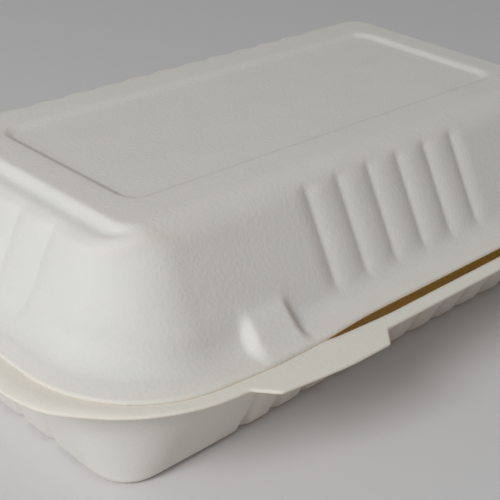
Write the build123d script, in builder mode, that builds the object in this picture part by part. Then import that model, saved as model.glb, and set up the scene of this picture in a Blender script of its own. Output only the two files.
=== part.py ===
from build123d import *
from math import atan2, cos, degrees, hypot, radians, sin, tan
import os

# A clamshell food box pressed from one sheet of sugar-cane pulp: a base and a lid that turn on a crease along the back.
# Millimetres, +Z up. The origin is on the table under the middle of the base, and the front, with the tabs, faces -Y.
# Both halves are cups with their mouths at the seam. A cup's sizes are taken outside, where its faces would meet sharply.

# The sheet, and the room it needs to move
wall = 0.9
seam_gap = 0.25  # between the two rims when the lid is shut
crease_gap = 0.15  # from the end of each rim to the line that the lid turns on
rim_round = 3.0  # bend where a wall turns out into its rim

# The mouths of both cups: the base's stands out past the lid's by a step all round
mouth_length = 207.0
mouth_width = 121.0
mouth_corner = 25.5
mouth_step = 3.75

# The base's cup
base_depth = 30.6
base_foot_length = 196.8
base_foot_width = 107.6
base_foot_corner = 11.5
base_foot_round = 4.5

# The lid's cup
lid_depth = 30.4
lid_top_length = 180.8
lid_top_width = 86.0
lid_top_corner = 16.0
lid_top_round = 9.0

# Rims, measured out from the mouth: the base's stands out past the lid's as a ledge, and both end at the crease behind
side_rim = 7.5
front_rim = 7.9
back_rim = 14.8
ledge = 7.0

# Lifting tabs on the front of the base's rim
tab_from_middle = 53.0
tab_width = 45.0
tab_reach = 5.1
tab_slope = 4.9

# Panel pressed into the lid's top, and the cove under the rim of each short side
panel_length = 148.2
panel_width = 52.4
panel_corner = 5.0
panel_depth = 1.0
cove_radius = 5.0
cove_depth = 1.0
cove_angle = 40.0

# Wedges over the lid's front rim
lug_from_middle = 57.5
lug_width = 16.8
lug_height = 7.0
lug_foot = 1.2  # from the lid's front edge to the foot of the ramp
lug_draft = 16.0

# The base's front is bowed out past the lid's edge between the wedges, which leaves a slot there
bow_half_length = 43.0
bow_taper = 12.0
bow_reach = 2.9
bow_depth = 10.8
bow_slope = 45.0

# Flutes: creases with rounded flanks down the walls. The flanks level out just outside the wall and leave it at an edge
flute_lift = 0.2
lid_flute_start = 5.6  # above the seam
lid_flute_half_width = 5.6
lid_flute_depth = 1.8
lid_flute_ramp = 38.0  # how steeply the crease comes back up to the wall at its start, in degrees
base_flute_start = 5.0  # below the seam
base_flute_half_width = 5.4
base_flute_foot_depth = 2.6  # a base flute starts at nothing and grows to this at the foot
lid_front_flutes = 6
lid_front_pitch = 12.0
lid_back_flutes = 10
lid_back_pitch = 11.3
lid_side_flutes = 4
lid_side_pitch = 13.2
base_long_flutes = 11
base_long_pitch = 11.6
base_side_flutes = 5
base_side_pitch = 12.3

# Where the lid's front edge lies, and the planes of the two mouths, each looking into its cup
lid_rim_front = mouth_width / 2 + front_rim
lid_seam = base_depth + seam_gap
base_mouth = Plane((0, 0, base_depth), x_dir=(1, 0, 0), z_dir=(0, 0, -1))
lid_mouth = Plane((0, 0, lid_seam), x_dir=(1, 0, 0), z_dir=(0, 0, 1))
base_cup = {
    "plane": base_mouth,
    "depth": base_depth,
    "mouth": (mouth_length + 2 * mouth_step, mouth_width + 2 * mouth_step, mouth_corner + mouth_step),
    "end": (base_foot_length, base_foot_width, base_foot_corner),
    "end_round": base_foot_round,
    "flute": (base_flute_start, base_flute_half_width, 0, base_flute_foot_depth),
}
lid_cup = {
    "plane": lid_mouth,
    "depth": lid_depth,
    "mouth": (mouth_length, mouth_width, mouth_corner),
    "end": (lid_top_length, lid_top_width, lid_top_corner),
    "end_round": lid_top_round,
    "flute": (lid_flute_start, lid_flute_half_width, lid_flute_depth, lid_flute_depth),
}


def outline(cup, height, inset):
    """Length, width and corner of a cup's wall at a height above its mouth, drawn in by inset along its normal."""
    share = height / cup["depth"]
    sizes = []
    for mouth, end in zip(cup["mouth"][:2], cup["end"][:2]):
        slant = hypot(cup["depth"], (mouth - end) / 2) / cup["depth"]
        sizes.append(mouth + (end - mouth) * share - 2 * inset * slant)
    mouth_corner, end_corner = cup["mouth"][2], cup["end"][2]
    return (*sizes, mouth_corner + (end_corner - mouth_corner) * share - inset)


def blank(cup, rim, inset):
    """A plain cup with its rim, as one closed form. Every face is drawn in by inset, so two of these bound a sheet."""
    plane = cup["plane"]
    with BuildPart() as form:
        for height in (0, cup["depth"] - inset):
            with BuildSketch(plane.offset(height)):
                RectangleRounded(*outline(cup, height, inset))
        loft(ruled=True)
        sides = [Face(face.outer_wire()) if face.is_planar else face for face in form.faces()]
        add(Solid(Shell(sides)), mode=Mode.REPLACE)
        far_face = form.faces().sort_by(Axis(plane.origin, plane.z_dir))[-1]
        fillet(far_face.edges(), cup["end_round"] - inset)
        with BuildSketch(Plane.XY.offset(plane.origin.Z - plane.z_dir.Z * inset)):
            add(rim)
        extrude(amount=plane.z_dir.Z * wall)
        bend = form.faces().filter_by(lambda face: face.inner_wires()).first.inner_wires()[0]
        fillet(bend.edges(), rim_round + inset)
    return form.part


def flute(cup, out, inset):
    """A flute's cutter at the middle of the wall that faces out, from its start near the mouth past the far edge."""
    start, half_width, start_depth, end_depth = cup["flute"]
    up = cup["plane"].z_dir
    size = 0 if abs(out.X) > abs(out.Y) else 1
    near = cup["plane"].origin + out * (outline(cup, start, 0)[size] / 2) + up * start
    far = cup["plane"].origin + out * (outline(cup, cup["depth"], 0)[size] / 2) + up * cup["depth"]
    side = out.cross(up)
    normal = (far - near).cross(side).normalized()
    crease_start = near - normal * (start_depth + inset)
    crease = far - normal * (end_depth + inset) - crease_start
    shoulder = end_depth + flute_lift
    clear = shoulder + half_width
    with BuildPart() as cutter:
        with BuildSketch(Plane(crease_start, x_dir=side, z_dir=crease)) as section:
            with BuildLine():
                TangentArc((-half_width, shoulder), (0, 0), tangent=(1, 0))
                TangentArc((half_width, shoulder), (0, 0), tangent=(-1, 0))
                Polyline((-half_width, shoulder), (-half_width, clear), (half_width, clear), (half_width, shoulder))
            make_face()
        extrude(amount=crease.length + half_width)
        if start_depth:
            slope = radians(lid_flute_ramp)
            ramp = normal * sin(slope) - crease.normalized() * cos(slope)
            extrude(section.sketch, amount=shoulder / sin(slope), dir=ramp)
    return cutter.part


def lug(inset):
    """A wedge from the lid's front wall down to its rim, with drafted sides."""
    edge_y = -lid_rim_front + lug_foot
    top_y = -outline(lid_cup, lug_height, 0)[1] / 2
    back_y = top_y + rim_round
    ramp = Vector(0, top_y - edge_y, lug_height - wall)
    with BuildPart() as wedge:
        with BuildSketch(Plane((0, (edge_y + back_y) / 2, lid_seam - inset))):
            Rectangle(lug_width - 2 * inset, back_y - edge_y)
        extrude(amount=lug_height + inset, taper=lug_draft)
        ramp_plane = Plane((0, edge_y, lid_seam + wall), x_dir=(1, 0, 0), z_dir=Vector(1, 0, 0).cross(ramp))
        split(bisect_by=ramp_plane.offset(-inset), keep=Keep.BOTTOM)
    return wedge.part


# Rim outlines
lid_rim_length = mouth_length + 2 * side_rim
lid_rim_corner = mouth_corner + side_rim
rim_end = mouth_width / 2 + back_rim - crease_gap
with BuildSketch() as lid_rim:
    with Locations((0, (rim_end - lid_rim_front) / 2)):
        RectangleRounded(lid_rim_length, rim_end + lid_rim_front, lid_rim_corner)

base_rim_front = lid_rim_front + ledge
with BuildSketch() as base_rim:
    with Locations((0, (rim_end - base_rim_front) / 2)):
        RectangleRounded(lid_rim_length + 2 * ledge, rim_end + base_rim_front, lid_rim_corner + ledge)
    for middle in (-tab_from_middle, tab_from_middle):
        with BuildLine():
            Polyline(
                (middle - tab_width / 2, -base_rim_front + ledge),
                (middle - tab_width / 2, -base_rim_front),
                (middle - tab_width / 2 + tab_slope, -base_rim_front - tab_reach),
                (middle + tab_width / 2 - tab_slope, -base_rim_front - tab_reach),
                (middle + tab_width / 2, -base_rim_front),
                (middle + tab_width / 2, -base_rim_front + ledge),
                close=True,
            )
        make_face()

FRONT, BACK, RIGHT, LEFT = Vector(0, -1, 0), Vector(0, 1, 0), Vector(1, 0, 0), Vector(-1, 0, 0)


def base_form(inset):
    """The base as one closed form, drawn in by inset."""
    long_cutters = [flute(base_cup, out, inset) for out in (FRONT, BACK)]
    side_cutters = [flute(base_cup, out, inset) for out in (RIGHT, LEFT)]
    plain = blank(base_cup, base_rim.sketch, inset)
    with BuildPart() as form:
        add(plain)
        with GridLocations(base_long_pitch, 0, base_long_flutes, 1):
            add(long_cutters, mode=Mode.SUBTRACT)
        with GridLocations(0, base_side_pitch, 1, base_side_flutes):
            add(side_cutters, mode=Mode.SUBTRACT)
        with BuildSketch(base_mouth):
            with BuildLine():
                Polyline(
                    (-bow_half_length, 0),
                    (-bow_half_length, lid_rim_front),
                    (-bow_half_length + bow_taper, lid_rim_front + bow_reach),
                    (bow_half_length - bow_taper, lid_rim_front + bow_reach),
                    (bow_half_length, lid_rim_front),
                    (bow_half_length, 0),
                    close=True,
                )
            make_face()
            offset(amount=wall - inset, kind=Kind.INTERSECTION)
        extrude(amount=bow_depth + wall - inset, taper=bow_slope)
    return form.part


def lid_form(inset):
    """The lid as one closed form, drawn in by inset."""
    front_cutter = flute(lid_cup, FRONT, inset)
    back_cutter = flute(lid_cup, BACK, inset)
    side_cutters = [flute(lid_cup, out, inset) for out in (RIGHT, LEFT)]
    wedge = lug(inset)
    top_z = lid_seam + lid_depth
    draft = degrees(atan2((mouth_length - lid_top_length) / 2, lid_depth))
    bend_x = lid_top_length / 2 - lid_top_round * tan(radians((90 - draft) / 2))
    cove_offset = lid_top_round + cove_radius - cove_depth
    cove_x = bend_x + cove_offset * sin(radians(cove_angle))
    cove_z = top_z - lid_top_round + cove_offset * cos(radians(cove_angle))
    plain = blank(lid_cup, lid_rim.sketch, inset)
    with BuildPart() as form:
        add(plain)
        with BuildSketch(Plane.XZ):
            with Locations((-cove_x, cove_z), (cove_x, cove_z)):
                Circle(cove_radius + inset)
        extrude(amount=lid_top_width / 2, both=True, mode=Mode.SUBTRACT)
        with BuildSketch(Plane.XY.offset(top_z - inset - panel_depth)):
            RectangleRounded(panel_length + 2 * inset, panel_width + 2 * inset, panel_corner + inset)
        extrude(amount=panel_depth + inset, mode=Mode.SUBTRACT)
        with GridLocations(lid_front_pitch, 0, lid_front_flutes, 1):
            add(front_cutter, mode=Mode.SUBTRACT)
        with GridLocations(lid_back_pitch, 0, lid_back_flutes, 1):
            add(back_cutter, mode=Mode.SUBTRACT)
        with GridLocations(0, lid_side_pitch, 1, lid_side_flutes):
            add(side_cutters, mode=Mode.SUBTRACT)
        with Locations((-lug_from_middle, 0), (lug_from_middle, 0)):
            add(wedge)
    return form.part


base_outside, base_inside = base_form(0), base_form(wall)
with BuildPart() as base:
    add(base_outside)
    add(base_inside, mode=Mode.SUBTRACT)

lid_outside, lid_inside = lid_form(0), lid_form(wall)
with BuildPart() as lid:
    add(lid_outside)
    add(lid_inside, mode=Mode.SUBTRACT)

base.part.label = "base"
lid.part.label = "lid"

os.makedirs("parts", exist_ok=True)
export_step(base.part, "parts/base.step")
export_step(lid.part, "parts/lid.step")
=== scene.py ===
import math

import bpy
import numpy as np
from mathutils import Matrix, Vector


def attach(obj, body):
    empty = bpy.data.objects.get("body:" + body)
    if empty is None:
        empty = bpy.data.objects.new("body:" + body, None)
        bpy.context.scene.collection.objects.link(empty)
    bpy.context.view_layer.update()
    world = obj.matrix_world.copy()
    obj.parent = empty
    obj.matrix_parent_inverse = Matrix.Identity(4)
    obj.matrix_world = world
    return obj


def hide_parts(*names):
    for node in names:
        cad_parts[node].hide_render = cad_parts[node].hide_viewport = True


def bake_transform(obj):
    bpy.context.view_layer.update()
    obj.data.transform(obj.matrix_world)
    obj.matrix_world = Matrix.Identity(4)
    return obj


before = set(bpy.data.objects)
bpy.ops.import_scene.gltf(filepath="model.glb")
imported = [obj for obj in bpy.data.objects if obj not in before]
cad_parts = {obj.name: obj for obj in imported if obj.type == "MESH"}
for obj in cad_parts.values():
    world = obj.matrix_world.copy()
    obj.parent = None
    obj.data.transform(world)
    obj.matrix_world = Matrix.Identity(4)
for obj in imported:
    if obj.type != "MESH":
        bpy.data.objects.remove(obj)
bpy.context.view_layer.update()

# Sizes are in millimetres, in the row frame: X along the box, the front with its tabs towards -Y,
# Z up from the table
MM = 0.001
SHEET = 0.9
BASE_TOP = 30.6
SEAM = 30.85  # the underside of the lid's rim
CREASE_END = 74.2  # where the rims stop at the back and the bent web takes over

# A ring's points lie along the front, the right, the back and the left in turn, with a corner after each
FRONT, RIGHT, BACK, LEFT, CORNER = range(5)
SIDE_STEPS = (228, 104, 228, 104)
CORNER_STEPS = 16
CORNER_SIGNS = ((1, -1), (1, 1), (-1, 1), (-1, -1))

# The rows of a wall, of the bend at its rim and of the rim itself, as shares of its width
WALL_STEPS = 36
RIM_BEND_STEPS = 12
RIM_SHARES = (0.15, 0.35, 0.55, 0.65, 0.75, 0.88)

# Sections of the rims' edges, as (in from the edge, height), from the outside of the sheet round to its inside
LID_EDGE = ((0.9, 0.9), (0.45, 0.8), (0.15, 0.57), (0.02, 0.3), (0.0, 0.08), (0.04, 0.0))
BASE_EDGE = ((0.22, 0.9), (0.06, 0.82), (0.0, 0.6), (0.0, 0.3), (0.07, 0.1), (0.25, 0.0))
EDGE_ROWS = len(LID_EDGE)

FRONT_ZONE = -45.0  # what lies before it belongs to the front wall and the front rim


def mix(a, b, share):
    return a + (b - a) * share


def smooth_step(low, high, value):
    share = np.clip((value - low) / (high - low), 0.0, 1.0)
    return share * share * (3.0 - 2.0 * share)


def soft_min(a, b, width):
    """The lower of two fields, with the edge between them eased over width."""
    share = np.clip(0.5 + 0.5 * (b - a) / width, 0.0, 1.0)
    return b * (1.0 - share) + a * share - width * share * (1.0 - share)


def evenly(count, pitch):
    return np.array([(i - (count - 1) / 2) * pitch for i in range(count)])


def to_nearest(values, centres):
    return np.min(np.abs(values[..., None] - centres), axis=-1)


def ring_layout():
    """The side that each point of a ring lies on, its angle in plan, and where the centre of its arc lies
    between the centres of the corners, from -1 to 1 in X and Y."""
    sides, angles, centres = [], [], []
    for side, steps in enumerate(SIDE_STEPS):
        start, end = CORNER_SIGNS[side - 1], CORNER_SIGNS[side]
        facing = 90 * side - 90
        for i in range(steps):
            sides.append(side)
            angles.append(math.radians(facing))
            centres.append([a + (b - a) * i / steps for a, b in zip(start, end)])
        for i in range(CORNER_STEPS):
            sides.append(CORNER)
            angles.append(math.radians(facing + 90 * i / CORNER_STEPS))
            centres.append(end)
    return np.array(sides), np.array(angles), np.array(centres, float).T


SIDE, ANGLE, (CENTRE_X, CENTRE_Y) = ring_layout()
POINTS = len(SIDE)
OUT_X, OUT_Y = np.cos(ANGLE), np.sin(ANGLE)


def side_axis(side):
    """The axis that a side faces along, and the sign of its direction."""
    return (1 if side in (FRONT, BACK) else 0), (-1.0 if side in (FRONT, LEFT) else 1.0)


def ring(half_x, half_y, corner, height_x, height_y, shift_y=0.0):
    """A rounded rectangle of points. Its height eases round the corners, from height_x to height_y."""
    x = CENTRE_X * (half_x - corner) + OUT_X * corner
    y = CENTRE_Y * (half_y - corner) + OUT_Y * corner + shift_y
    z = height_x * OUT_X**2 + height_y * OUT_Y**2
    return np.stack([x, y, z], axis=1)


def rounded_line(corners, spots=400, reach=30):
    """A line with its corners eased over reach spots to each side, as a function of the share of its way."""
    corners = np.array(corners, float)
    run = np.concatenate([[0.0], np.cumsum(np.linalg.norm(np.diff(corners, axis=0), axis=1))])
    places = np.linspace(0.0, run[-1], spots)
    line = np.stack([np.interp(places, run, corners[:, k]) for k in (0, 1)], axis=1)
    kernel = np.hanning(2 * reach + 1)
    kernel /= kernel.sum()
    before, after = 2 * line[:1] - line[reach:0:-1], 2 * line[-1:] - line[-2:-2 - reach:-1]
    padded = np.concatenate([before, line, after])
    eased = np.stack([np.convolve(padded[:, k], kernel, "valid") for k in (0, 1)], axis=1)
    shares = np.linspace(0.0, 1.0, spots)
    return lambda share: [float(np.interp(share, shares, eased[:, k])) for k in (0, 1)]


class Cup:
    """The outside of a pressed half. Its mouth is at height 0, and heights grow into the cup.

    mouth and end are (half length, half width, corner) of the wall in the planes of the mouth and of the
    flat end. bends are the sections from the end to the wall, on the short and on the long sides: each is a
    radius, or a line of (out, fall). rim is (half length, front, back, corner), and edge its section.
    """

    def __init__(self, depth, mouth, end, flat_corner, bends, bend_steps, rim_round, rim, edge):
        self.depth, self.mouth, self.end, self.flat_corner = depth, mouth, end, flat_corner
        self.rim_round, self.rim, self.edge = rim_round, rim, edge
        self.drafts = [math.atan2(mouth[k] - end[k], depth) for k in (0, 1)]
        self.turns = [math.radians(90) - draft for draft in self.drafts]
        self.bends = [self.bend(k, shape) for k, shape in enumerate(bends)]
        self.bend_steps = bend_steps
        self.flats = [bend(0.0)[0] for bend in self.bends]

    def bend(self, k, shape):
        """The section from the end to the wall, as a function from the share of its way to (out, fall)."""
        if not isinstance(shape, float):
            return rounded_line(shape)
        flat = self.end[k] - shape * math.tan(self.turns[k] / 2)

        def arc(share):
            turn = self.turns[k] * share
            return flat + shape * math.sin(turn), shape * (1.0 - math.cos(turn))

        return arc

    def wall(self, height):
        return [mix(m, e, height / self.depth) for m, e in zip(self.mouth, self.end)]

    def rows(self, panel, inner, flat_shares):
        """The places, shares of the rim's width and points of all rows, from the middle of the end to the edge."""
        rows = [("panel", 0.0, points) for points in panel]
        outer = (*self.flats, self.flat_corner)
        for share in flat_shares:
            sizes = [mix(a, b, share) for a, b in zip(inner, outer)]
            rows.append(("flat", 0.0, ring(*sizes, self.depth, self.depth)))
        for i in range(self.bend_steps + 1):
            share = i / self.bend_steps
            outs, falls = zip(*(bend(share) for bend in self.bends))
            tops = [self.depth - fall for fall in falls]
            wall_corner = mix(self.mouth[2], self.end[2], 1.0 - max(falls) / self.depth)
            corner = mix(self.flat_corner, wall_corner, smooth_step(0.0, 1.0, share))
            rows.append(("round", 0.0, ring(*outs, corner, *tops)))
        feet = [SHEET + self.rim_round * (1.0 - math.cos(turn)) for turn in self.turns]
        for i in range(1, WALL_STEPS):
            heights = [mix(a, b, i / WALL_STEPS) for a, b in zip(tops, feet)]
            half_x, half_y = self.wall(heights[0])[0], self.wall(heights[1])[1]
            rows.append(("wall", 0.0, ring(half_x, half_y, self.wall(min(heights))[2], *heights)))
        (start_x, _, corner_x), (_, start_y, corner_y) = (self.wall(height) for height in feet)
        for i in range(RIM_BEND_STEPS + 1):
            left = [turn * (1.0 - i / RIM_BEND_STEPS) for turn in self.turns]
            runs = [self.rim_round * (math.sin(a) - math.sin(b)) for a, b in zip(self.turns, left)]
            heights = [SHEET + self.rim_round * (1.0 - math.cos(turn)) for turn in left]
            foot = (start_x + runs[0], start_y + runs[1], min(corner_x, corner_y) + max(runs))
            rows.append(("bend", 0.0, ring(*foot, *heights)))
        for share in RIM_SHARES:
            rows.append(("rim", share, self.rim_ring(foot, share, self.edge[0][0], SHEET)))
        for inset, height in self.edge:
            rows.append(("edge", 1.0, self.rim_ring(foot, 1.0, inset, height)))
        places, shares, points = zip(*rows)
        return np.array(places), np.array(shares)[:, None], np.stack(points)

    def rim_ring(self, foot, share, inset, height):
        half_x, front, back, corner = self.rim
        edge = (half_x - inset, (front + back) / 2 - inset, corner - inset)
        sizes = [mix(a, b, share) for a, b in zip(foot, edge)]
        return ring(*sizes, height, height, (back - front) / 2 * share)


def grid_normals(points):
    """Normals of a grid of rows by ring points, pointing out of the cup."""
    down = np.gradient(points, axis=0)
    across = (np.roll(points, -1, axis=1) - np.roll(points, 1, axis=1)) / 2.0
    normal = np.cross(down, across)
    length = np.linalg.norm(normal, axis=2, keepdims=True)
    return normal / np.maximum(length, 1e-9)


def inner_rows(places):
    """The rows that the inside of a sheet follows: all on the flats, and every fourth on the walls and bends."""
    inside = places[:-EDGE_ROWS]
    count = np.arange(len(inside))
    flat = np.isin(inside, ("panel", "flat", "rim"))
    return np.flatnonzero(flat | (count % 4 == 0) | (count == len(inside) - 1))


def link_mesh(name, points, faces, smooth):
    """A linked object of its points and faces. smooth says of each face if it is shaded smooth."""
    mesh = bpy.data.meshes.new(name)
    mesh.from_pydata(points, [], faces)
    mesh.polygons.foreach_set("use_smooth", smooth)
    mesh.update()
    made = bpy.data.objects.new(name, mesh)
    bpy.context.scene.collection.objects.link(made)
    return made


def shell(name, points, kept, flip, lift):
    """A sheet: the outside grid, its edge, and the inside SHEET below it, from the edge back to the middle."""
    body = points[:-EDGE_ROWS]
    inside = (body - grid_normals(body) * SHEET)[kept][::-1]
    grid = np.concatenate([points, inside])
    if flip:
        grid = grid * np.array([1.0, 1.0, -1.0])
    grid = grid + np.array([0.0, 0.0, lift])
    index = np.arange(len(grid) * POINTS).reshape(len(grid), POINTS)
    a, b = index[:-1], index[1:]
    quads = np.stack([a, b, np.roll(b, -1, axis=1), np.roll(a, -1, axis=1)], axis=2).reshape(-1, 4)
    first, last = list(index[0]), list(index[-1])[::-1]
    if flip:
        quads = quads[:, ::-1]
        first, last = first[::-1], last[::-1]
    faces = quads.tolist() + [first, last]
    return link_mesh(name, (grid.reshape(-1, 3) * MM).tolist(), faces, [True] * len(faces))


# The lid. Below the edge of its top, each short side has a step, as (out, fall) down its section
LID_STEP = ((82.4, 0.0), (84.4, 0.0), (86.2, 2.6), (89.3, 3.1), (91.9, 4.7), (94.71, 10.0))
lid_cup = Cup(
    depth=30.4,
    mouth=(103.5, 60.5, 25.5),
    end=(90.4, 43.0, 16.0),
    flat_corner=4.0,
    bends=(LID_STEP, 11.0),
    bend_steps=24,
    rim_round=6.5,
    rim=(111.0, 68.4, CREASE_END, 33.0),
    edge=LID_EDGE,
)

# The panel sunk into its top: half length, half width and corner at the foot of the soft step round it
PANEL_FOOT = (71.8, 25.9, 3.5)
PANEL_INSETS = (14.2, 2.84, 0.0)  # of the rows on the panel itself
PANEL_LEAST_CORNER = 0.6
PANEL_DROP = 1.15
STEP_WIDTH, STEP_ROWS = 3.4, 7


def panel_rings(top):
    rings = []
    for inset in PANEL_INSETS:
        half_x, half_y, corner = (size - inset for size in PANEL_FOOT)
        height = top - PANEL_DROP
        rings.append(ring(half_x, half_y, max(corner, PANEL_LEAST_CORNER), height, height))
    for i in range(1, STEP_ROWS + 1):
        share = i / STEP_ROWS
        height = top - PANEL_DROP * (1.0 - smooth_step(0.0, 1.0, share))
        rings.append(ring(*(size + STEP_WIDTH * share for size in PANEL_FOOT), height, height))
    return rings


lid_places, lid_shares, lid_points = lid_cup.rows(
    panel_rings(lid_cup.depth),
    [size + STEP_WIDTH for size in PANEL_FOOT],
    (0.3, 0.6, 0.85, 0.97),
)

# Pressed ribs on its walls: a row of creases, each a cusp between arched flanks, that fade out at both ends
CREASE_FLANK = 6.0
CREASE_CUSP = 0.25
CREASE_POWER = 2.2
CREASE_FOOT = (1.4, 6.4)  # the heights between which they fade in


def press_creases(side, centres, depth, head):
    k, sign = side_axis(side)
    nearest = to_nearest(lid_points[..., 1 - k], centres)
    height = lid_points[..., 2]
    dip = depth * np.clip(1.0 - np.sqrt(nearest**2 + CREASE_CUSP**2) / CREASE_FLANK, 0.0, 1.0) ** CREASE_POWER
    dip = dip * smooth_step(*CREASE_FOOT, height) * (1.0 - smooth_step(*head, height))
    mine = (SIDE == side)[None, :] & np.isin(lid_places, ("wall", "round", "bend"))[:, None]
    dip = np.where(mine, dip, 0.0)
    lid_points[..., k] -= sign * math.cos(lid_cup.drafts[k]) * dip
    lid_points[..., 2] -= math.sin(lid_cup.drafts[k]) * dip


press_creases(FRONT, evenly(6, 12.06), depth=1.1, head=(25.8, 28.4))
press_creases(BACK, evenly(11, 11.3), depth=2.1, head=(29.6, 30.39))
for short_side in (RIGHT, LEFT):
    press_creases(short_side, evenly(4, 13.2), depth=1.15, head=(24.5, 27.5))

# Two wedges stand on its front edge. Each is a crowned ramp that rises from its foot to its head
WEDGE_MIDDLE = 57.5
WEDGE_FOOT, WEDGE_HEAD = -67.4, -56.4
WEDGE_RUN = (-0.2, 1.4)  # how far the ramp goes on past them, as shares of its way
WEDGE_LOW, WEDGE_HIGH = SHEET - 0.7, 7.9 - 0.7
WEDGE_CROWN = 3.6
WEDGE_EASE = 2.4
WEDGE_FLANK = (5.6, 9.4)
WEDGE_SPLAY = 0.0044  # its share of drift to the middle for each millimetre back from WEDGE_WAIST
WEDGE_WAIST = -62.0
WEDGE_CEILING = 12.0
UNDER_ROWS = 4  # the rows of the lid's edge that the wedges leave alone

lid_x, lid_y, lid_z = (lid_points[..., k] for k in range(3))
above_edge = np.arange(len(lid_points))[:, None] < len(lid_points) - UNDER_ROWS
for middle in (-WEDGE_MIDDLE, WEDGE_MIDDLE):
    run = np.clip((lid_y - WEDGE_FOOT) / (WEDGE_HEAD - WEDGE_FOOT), *WEDGE_RUN)
    ramp = mix(WEDGE_LOW, WEDGE_HIGH, run) + WEDGE_CROWN * np.clip(run * (1.0 - run), 0.0, None)
    lift = -soft_min(lid_z - ramp, np.zeros_like(ramp), WEDGE_EASE)
    off_middle = np.abs(lid_x - middle * (1.0 - WEDGE_SPLAY * (lid_y - WEDGE_WAIST)))
    lift *= 1.0 - smooth_step(*WEDGE_FLANK, off_middle)
    mine = (lid_y < FRONT_ZONE) & (lid_z < WEDGE_CEILING) & above_edge
    lid_z += np.where(mine, np.maximum(lift, 0.0), 0.0)

# Its front edge stands a little further out at the wedges
EDGE_OUT = 1.4
EDGE_OUT_RISE, EDGE_OUT_FALL = (26.0, 54.0), (62.0, 84.0)
EDGE_OUT_ZONE = -55.0
from_middle = np.abs(lid_x)
edge_out = EDGE_OUT * smooth_step(*EDGE_OUT_RISE, from_middle) * (1.0 - smooth_step(*EDGE_OUT_FALL, from_middle))
lid_y -= edge_out * (lid_y < EDGE_OUT_ZONE) * lid_shares

# Its rim slopes down to the edge at the short sides and round the front corners, from a wall whose foot is lifted
RIM_SLOPE = 1.2
SLOPE_SIDES, SLOPE_BACK = (62.0, 96.0), (15.0, 55.0)
SLOPE_GROWTH = 0.8
SLOPE_HEIGHTS = (0.6, 11.0)
slope = RIM_SLOPE * smooth_step(*SLOPE_SIDES, np.abs(lid_x)) * (1.0 - smooth_step(*SLOPE_BACK, lid_y))
above = lid_z - SHEET
slope *= (1.0 + SLOPE_GROWTH * np.sqrt(np.maximum(above, 0.0))) * (1.0 - smooth_step(*SLOPE_HEIGHTS, above))
lid_z += slope * (1.0 - lid_shares)

# Its edge is turned down a little, almost onto the base's rim, but not at the crease
EDGE_LIP = np.array([0.08, 0.16, 0.2])[:, None]  # of its last rows
LIP_BACK = (20.0, 60.0)
lip_rows = slice(-len(EDGE_LIP), None)
lid_z[lip_rows] -= EDGE_LIP * (1.0 - smooth_step(*LIP_BACK, lid_y[lip_rows]))

lid = shell("lid_sheet", lid_points, inner_rows(lid_places), False, SEAM)
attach(lid, "lid_half")
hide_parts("lid")

# The base, built mouth down as the lid is, and turned over at the end
base_cup = Cup(
    depth=30.6,
    mouth=(107.25, 64.25, 29.25),
    end=(98.4, 53.8, 11.5),
    flat_corner=6.5,
    bends=(4.5, 4.5),
    bend_steps=14,
    rim_round=2.2,
    rim=(118.0, 75.4, CREASE_END, 42.0),
    edge=BASE_EDGE,
)
base_places, base_shares, base_points = base_cup.rows(
    [],
    (base_cup.flats[0] * 0.6, base_cup.flats[1] * 0.3, 4.0),
    (0.0, 0.4, 0.75, 0.92, 0.97, 0.99),
)

# Flutes in its walls, which start below the rim and grow towards the foot. Their flanks are arcs that meet in a
# crease and level out half_width from it, just outside the wall
FLUTE_DEPTH = 2.6
FLUTE_START = 5.0
FLUTE_SHOULDER = FLUTE_DEPTH + 0.2
FLUTE_GROWTH_LIMIT = 1.2
FLUTE_EASE = 0.25
FLUTE_LEAST_CUT = -0.6  # below it the wall is left as it is


def press_flutes(side, centres, half_width):
    k, sign = side_axis(side)
    cos_draft, sin_draft = math.cos(base_cup.drafts[k]), math.sin(base_cup.drafts[k])
    height = base_points[..., 2]
    away = (sign * base_points[..., k] - base_cup.mouth[k]) * cos_draft + height * sin_draft
    growth = (height / cos_draft - FLUTE_START) / (base_cup.depth - FLUTE_START)
    depth = FLUTE_DEPTH * np.clip(growth, 0.0, FLUTE_GROWTH_LIMIT)
    nearest = to_nearest(base_points[..., 1 - k], centres)
    radius = (half_width**2 + FLUTE_SHOULDER**2) / (2.0 * FLUTE_SHOULDER)
    gap = np.clip(half_width - nearest, 0.0, half_width)
    cut = depth - (FLUTE_SHOULDER - (radius - np.sqrt(radius**2 - gap**2)))
    mine = (SIDE == side)[None, :] & np.isin(base_places, ("wall", "round", "flat"))[:, None]
    mine = mine & (nearest <= half_width) & (cut > FLUTE_LEAST_CUT)
    move = np.where(mine, np.minimum(soft_min(away, -cut, FLUTE_EASE) - away, 0.0), 0.0)
    base_points[..., k] += sign * cos_draft * move
    base_points[..., 2] += sin_draft * move


for long_side in (FRONT, BACK):
    press_flutes(long_side, evenly(11, 11.6), half_width=5.4)
for short_side in (RIGHT, LEFT):
    press_flutes(short_side, evenly(5, 13.3), half_width=5.6)

base_x, base_y, base_z = (base_points[..., k] for k in range(3))

# The foot of the front wall is drawn in along the middle
FOOT_DRAW = 2.0
DRAW_LEFT, DRAW_RIGHT, DRAW_FRONT = (-75.0, 5.0), (60.0, 95.0), (20.0, 45.0)
draw = FOOT_DRAW * smooth_step(*DRAW_LEFT, base_x) * (1.0 - smooth_step(*DRAW_RIGHT, base_x))
draw *= np.clip(base_z / base_cup.depth, 0.0, 1.0) * smooth_step(*DRAW_FRONT, -base_y)
base_y += draw

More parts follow.
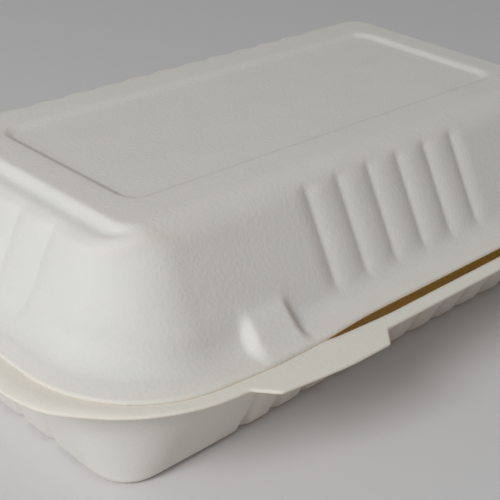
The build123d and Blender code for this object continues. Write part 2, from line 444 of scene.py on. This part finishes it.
# The front is bowed out past the lid's edge between the wedges
BOW_REACH = 7.1
BOW_SAG = 0.27  # the share of it that is lost towards its ends
BOW_SAG_START, BOW_SAG_LENGTH, BOW_SAG_POWER = 22.0, 28.0, 1.3
BOW_ENDS, BOW_HEIGHTS = (42.0, 60.0), (2.0, 15.0)
BOW_ZONE = -50.0
from_middle = np.abs(base_x)
bow = 1.0 - BOW_SAG * np.clip((from_middle - BOW_SAG_START) / BOW_SAG_LENGTH, 0.0, 1.0) ** BOW_SAG_POWER
bow *= BOW_REACH * (1.0 - smooth_step(*BOW_ENDS, from_middle))
bow *= (1.0 - smooth_step(*BOW_HEIGHTS, base_z)) * (base_y < BOW_ZONE)
base_y -= bow * (1.0 - base_shares)

# The front of the rim falls back a little towards the corners
FALL_BACK = 3.0
FALL_BACK_ENDS, FALL_BACK_FRONT = (45.0, 80.0), (45.0, 60.0)
front_rim = base_y < FRONT_ZONE
fall_back = FALL_BACK * smooth_step(*FALL_BACK_ENDS, np.abs(base_x)) * smooth_step(*FALL_BACK_FRONT, -base_y)
base_y += fall_back * base_shares

# Its edge rolls down at the short sides
RIM_ROLL = 0.65
ROLL_START = 0.6  # as a share of the rim's width
ROLL_SIDES, ROLL_BACK = (90.0, 115.0), (20.0, 60.0)
rolled = RIM_ROLL * np.clip((base_shares - ROLL_START) / (1.0 - ROLL_START), 0.0, 1.0) ** 2
base_z += rolled * smooth_step(*ROLL_SIDES, np.abs(base_x)) * (1.0 - smooth_step(*ROLL_BACK, base_y))

# It has two lifting tabs at the front
TAB_MIDDLE, TAB_HALF_LENGTH = 53.0, 22.5
TAB_REACH, TAB_SLANT = 5.1, 4.9
for middle in (-TAB_MIDDLE, TAB_MIDDLE):
    reach = TAB_REACH * np.clip((TAB_HALF_LENGTH - np.abs(base_x - middle)) / TAB_SLANT, 0.0, 1.0)
    base_y -= np.where(front_rim, reach * base_shares, 0.0)

base = shell("base_tray", base_points, inner_rows(base_places), True, BASE_TOP)
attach(base, "base_half")
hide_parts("base")

# The bent web between the rims at the back: half a turn of the sheet about the middle of the seam
WEB_HALF_LENGTH = 75.0
WEB_STEPS, WEB_TURN_STEPS = 60, 16
WEB_TAPER = 9.0  # over which its ends ease back to the rims' edges
WEB_LEAST_REACH = 0.1
WEB_START = CREASE_END - 0.1


def crease_web():
    middle_z = (BASE_TOP + SEAM) / 2
    inner = (SEAM - BASE_TOP) / 2
    outer = inner + SHEET
    turns = [math.radians(-90 + 180 * i / WEB_TURN_STEPS) for i in range(WEB_TURN_STEPS + 1)]
    loop = [(outer * math.cos(t), middle_z + outer * math.sin(t)) for t in turns]
    loop += [(inner * math.cos(t), middle_z + inner * math.sin(t)) for t in reversed(turns)]
    count = len(loop)
    points, faces = [], []
    for i in range(WEB_STEPS + 1):
        x = WEB_HALF_LENGTH * math.sin(math.radians(180.0 * i / WEB_STEPS - 90.0))
        full = float(smooth_step(0.0, WEB_TAPER, WEB_HALF_LENGTH - abs(x)))
        reach = mix(WEB_LEAST_REACH, 1.0, full)
        points += [(x * MM, (WEB_START + y * reach) * MM, z * MM) for y, z in loop]
    for i in range(WEB_STEPS):
        for j in range(count):
            k = (j + 1) % count
            faces.append((i * count + j, i * count + k, (i + 1) * count + k, (i + 1) * count + j))
    faces.append(tuple(reversed(range(count))))
    faces.append(tuple(WEB_STEPS * count + j for j in range(count)))
    return link_mesh("crease_web", points, faces, [len(face) == 4 for face in faces]), middle_z


web, web_z = crease_web()

# Moulded cane pulp: matt and off-white, with faint mottling and the fine grain of the forming screen
PULP_DARK = (0.79, 0.825, 0.79, 1.0)
PULP_PALE = (0.86, 0.89, 0.865, 1.0)
AMBER = (1.0, 0.71, 0.34, 1.0)
CROSSING_SHARE = 0.18  # of the light, which crosses the sheet and leaves it amber


def noise(nodes, scale, detail):
    made = nodes.new("ShaderNodeTexNoise")
    made.inputs["Scale"].default_value = scale
    made.inputs["Detail"].default_value = detail
    return made


def pulp_material():
    material = bpy.data.materials.new("pulp")
    material.use_nodes = True
    nodes, links = material.node_tree.nodes, material.node_tree.links
    shader = nodes["Principled BSDF"]
    shader.inputs["Roughness"].default_value = 0.85
    shader.inputs["Specular IOR Level"].default_value = 0.25
    place = nodes.new("ShaderNodeTexCoord")
    mottle = noise(nodes, scale=90.0, detail=4.0)
    tint = nodes.new("ShaderNodeMix")
    tint.data_type = "RGBA"
    tint.inputs["A"].default_value = PULP_DARK
    tint.inputs["B"].default_value = PULP_PALE
    links.new(place.outputs["Object"], mottle.inputs["Vector"])
    links.new(mottle.outputs["Fac"], tint.inputs["Factor"])
    links.new(tint.outputs["Result"], shader.inputs["Base Color"])
    grain = noise(nodes, scale=900.0, detail=3.0)
    links.new(place.outputs["Object"], grain.inputs["Vector"])
    bump = nodes.new("ShaderNodeBump")
    bump.inputs["Strength"].default_value = 0.6
    bump.inputs["Distance"].default_value = 0.0002
    links.new(grain.outputs["Fac"], bump.inputs["Height"])
    links.new(bump.outputs["Normal"], shader.inputs["Normal"])
    # Where light meets a face from within the sheet, all of it passes on, and nothing is thrown back
    through = nodes.new("ShaderNodeBsdfTranslucent")
    through.inputs["Color"].default_value = AMBER
    within = nodes.new("ShaderNodeNewGeometry")
    share = nodes.new("ShaderNodeMath")
    share.operation = "MULTIPLY_ADD"
    share.inputs[1].default_value = 1.0 - CROSSING_SHARE
    share.inputs[2].default_value = CROSSING_SHARE
    links.new(within.outputs["Backfacing"], share.inputs[0])
    blend = nodes.new("ShaderNodeMixShader")
    links.new(share.outputs["Value"], blend.inputs["Fac"])
    links.new(shader.outputs["BSDF"], blend.inputs[1])
    links.new(through.outputs["BSDF"], blend.inputs[2])
    links.new(blend.outputs["Shader"], nodes["Material Output"].inputs["Surface"])
    return material


pulp = pulp_material()
for piece in (lid, base, web):
    piece.data.materials.append(pulp)
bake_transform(web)

# The table, in metres
TABLE_HALF = 4.0
TABLE_Z = -0.0001  # just clear of the foot, so that the two faces don't lie in one plane
TABLE_COLOUR = (0.70, 0.70, 0.71, 1.0)
table_corners = [(TABLE_HALF * x, TABLE_HALF * y, TABLE_Z) for x, y in ((-1, -1), (1, -1), (1, 1), (-1, 1))]
floor = link_mesh("table", table_corners, [(0, 1, 2, 3)], [False])
table_material = bpy.data.materials.new("table")
table_material.use_nodes = True
table_shader = table_material.node_tree.nodes["Principled BSDF"]
table_shader.inputs["Base Color"].default_value = TABLE_COLOUR
table_shader.inputs["Roughness"].default_value = 0.6
floor.data.materials.append(table_material)

# The light: one broad window at the left, and the room
WINDOW_PLACE = Vector((-0.96, -0.22, 0.715))
WINDOW_TARGET = Vector((0.0, 0.0, 0.03))
WINDOW_SIZE = 0.56
WINDOW_POWER = 8.25
ROOM_COLOUR = (1.0, 0.99, 0.97, 1.0)
ROOM_STRENGTH = 0.28

window = bpy.data.objects.new("window", bpy.data.lights.new("window", "AREA"))
window.data.shape = "DISK"
window.data.size = WINDOW_SIZE
window.data.energy = WINDOW_POWER
window.location = WINDOW_PLACE
window.rotation_mode = "QUATERNION"
window.rotation_quaternion = (WINDOW_TARGET - WINDOW_PLACE).to_track_quat("-Z", "Y")
bpy.context.scene.collection.objects.link(window)
world = bpy.data.worlds.new("room")
world.use_nodes = True
room = world.node_tree.nodes["Background"]
room.inputs["Color"].default_value = ROOM_COLOUR
room.inputs["Strength"].default_value = ROOM_STRENGTH
bpy.context.scene.world = world

# The camera, as the photograph was taken, in metres and degrees
CAMERA_PLACE = (-0.2366, -0.2285, 0.1835)
CAMERA_ANGLES = (-45.5, 27.61, 2.77)  # azimuth, elevation and roll
CAMERA_LENS, CAMERA_SENSOR = 85.44, 36.0

azimuth, elevation, roll = (math.radians(angle) for angle in CAMERA_ANGLES)
back = Vector((
    math.sin(azimuth) * math.cos(elevation),
    -math.cos(azimuth) * math.cos(elevation),
    math.sin(elevation),
))
level = Vector((0, 0, 1)).cross(back).normalized()
upright = back.cross(level)
right = level * math.cos(roll) + upright * math.sin(roll)
up = upright * math.cos(roll) - level * math.sin(roll)
camera = bpy.data.objects.new("camera", bpy.data.cameras.new("camera"))
camera.data.lens = CAMERA_LENS
camera.data.sensor_width = CAMERA_SENSOR
camera.data.clip_start, camera.data.clip_end = 0.01, 20.0
camera.matrix_world = Matrix.Translation(CAMERA_PLACE) @ Matrix((right, up, back)).transposed().to_4x4()
bpy.context.scene.collection.objects.link(camera)
bpy.context.scene.camera = camera
bpy.context.scene.view_settings.view_transform = "Standard"
